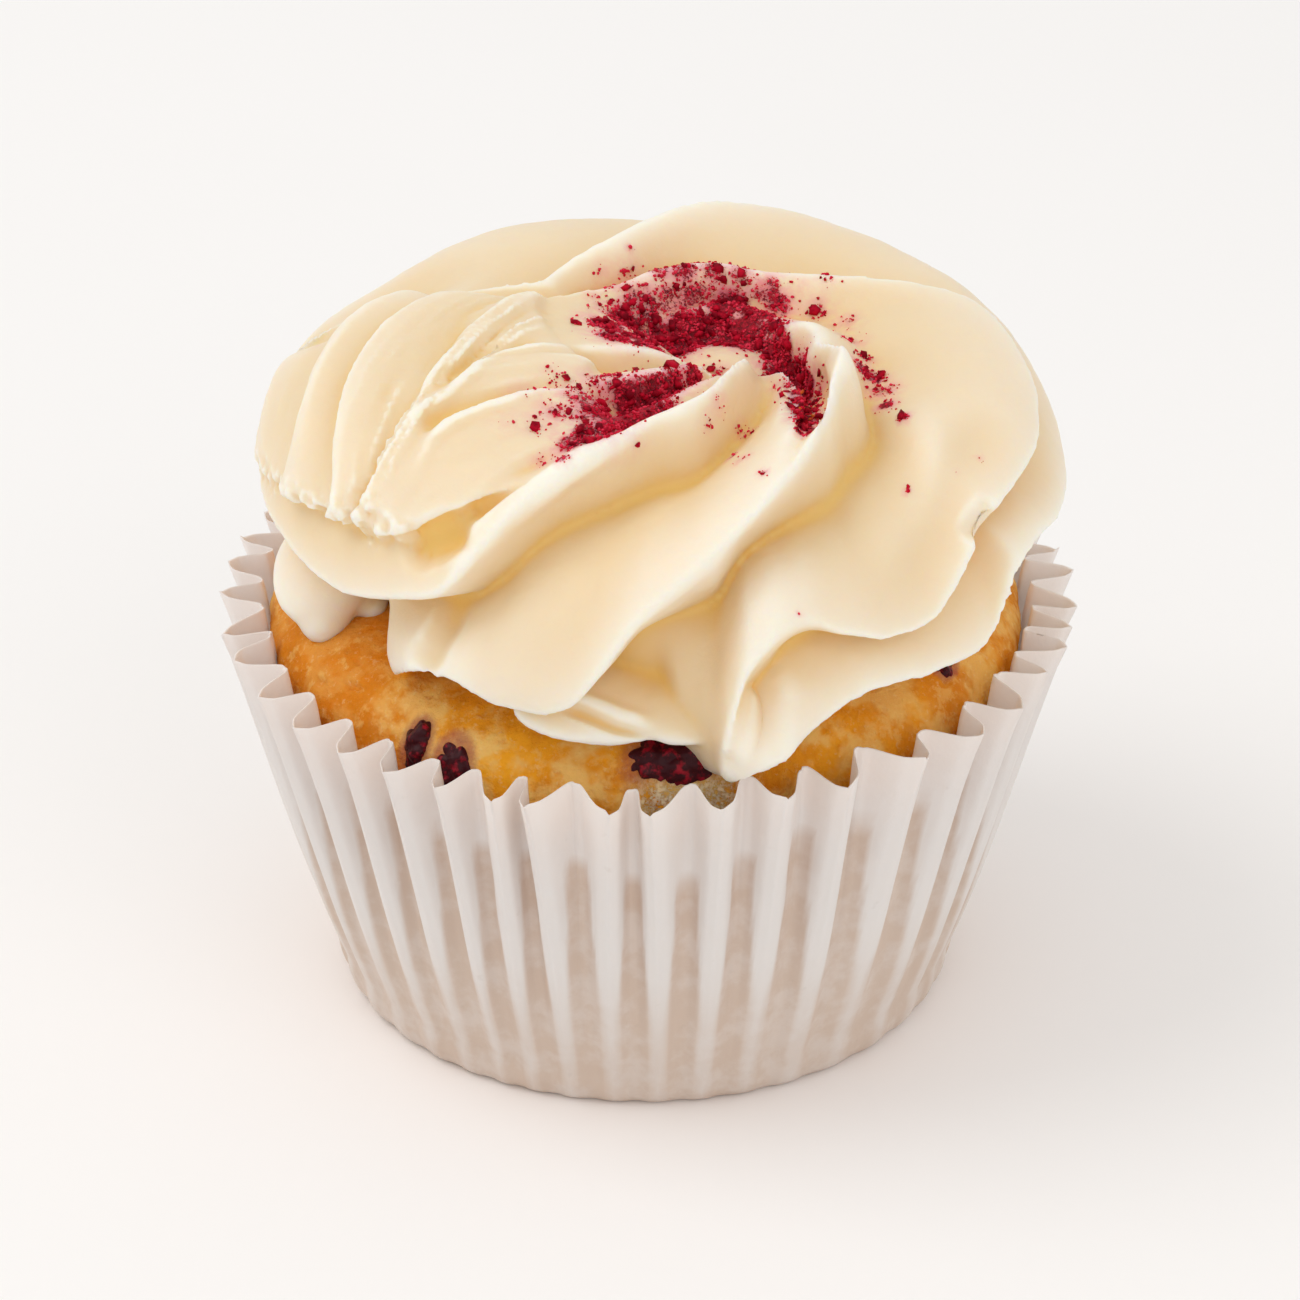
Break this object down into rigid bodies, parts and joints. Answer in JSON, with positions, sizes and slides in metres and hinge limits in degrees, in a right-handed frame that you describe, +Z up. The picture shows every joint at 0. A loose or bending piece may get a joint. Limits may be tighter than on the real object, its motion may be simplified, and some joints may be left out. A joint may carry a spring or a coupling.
{
  "type": "cupcake",
  "caption": "Iced fruit cupcake: sponge in a pleated paper case, topped with a piped buttercream swirl dusted with freeze-dried raspberry.",
  "frame": {"origin": "middle of the underside of the paper case, which is the middle of its outline", "axes": "+Z up through the cake, -Y towards the front of the cake, +X to the right of the front"},
  "size_m": [0.0732, 0.0732, 0.0644],
  "materials": {
    "paper": "matt white greaseproof paper",
    "sponge": "golden baked crumb",
    "raspberry": "dark baked fruit, moist",
    "buttercream": "smooth piped buttercream, satin"
  },
  "bodies": {
    "root": {"paper_case": "paper", "sponge": "sponge", "raspberry_left_upper": "raspberry", "raspberry_left_lower": "raspberry", "raspberry_front": "raspberry", "raspberry_right": "raspberry", "icing": "buttercream"}
  },
  "joints": []
}
